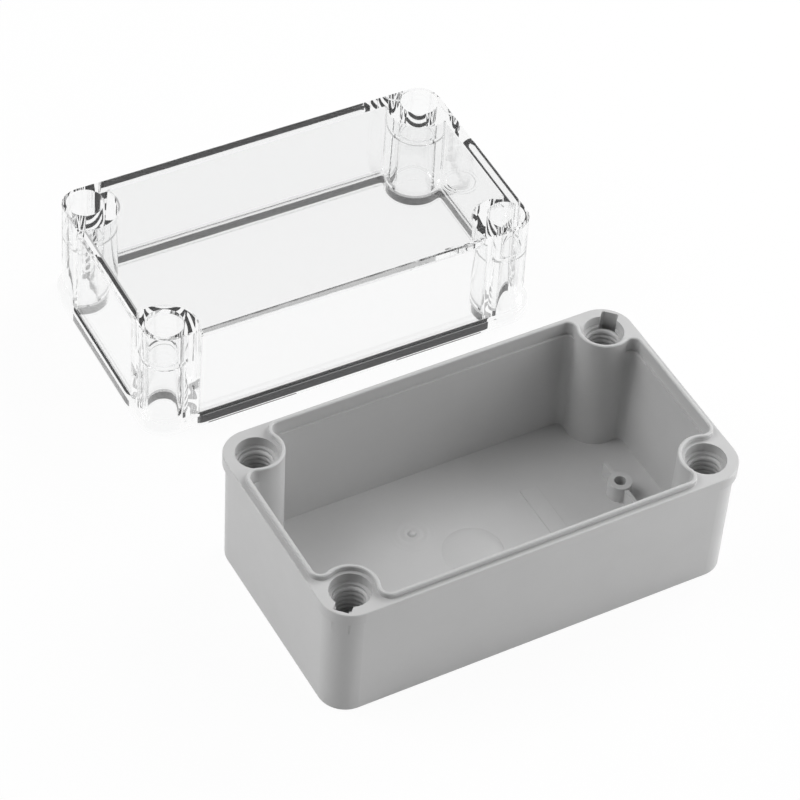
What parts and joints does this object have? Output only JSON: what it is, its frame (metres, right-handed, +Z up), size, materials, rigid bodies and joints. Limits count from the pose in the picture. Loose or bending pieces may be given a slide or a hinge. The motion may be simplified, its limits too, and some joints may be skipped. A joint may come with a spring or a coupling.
{
  "type": "sealed enclosure with clear lid",
  "caption": "Small rectangular sealed plastic case: grey base tray with bored corner screw posts and a rim tongue, and a deep clear lid with a rim seal, standing beside it.",
  "frame": {"origin": "middle of the base tray's flat underside, on the surface on which both mouldings stand", "axes": "+X along the base's length, +Y across the base towards the lid that stands beside it, +Z up through the base's open side"},
  "size_m": [0.1413, 0.2035, 0.0455],
  "materials": {
    "base_grey": "satin moulded",
    "lid_clear": "polished clear",
    "seal_dark": "matt"
  },
  "bodies": {
    "base": {"base_tray": "base_grey"},
    "lid": {"clear_lid": "lid_clear", "rim_seal": "seal_dark"}
  },
  "joints": [
    {"name": "lid_lift", "type": "slide", "parent": "base", "child": "lid", "axis": [0, 0, 1], "range_m": [0, 0.06]}
  ]
}
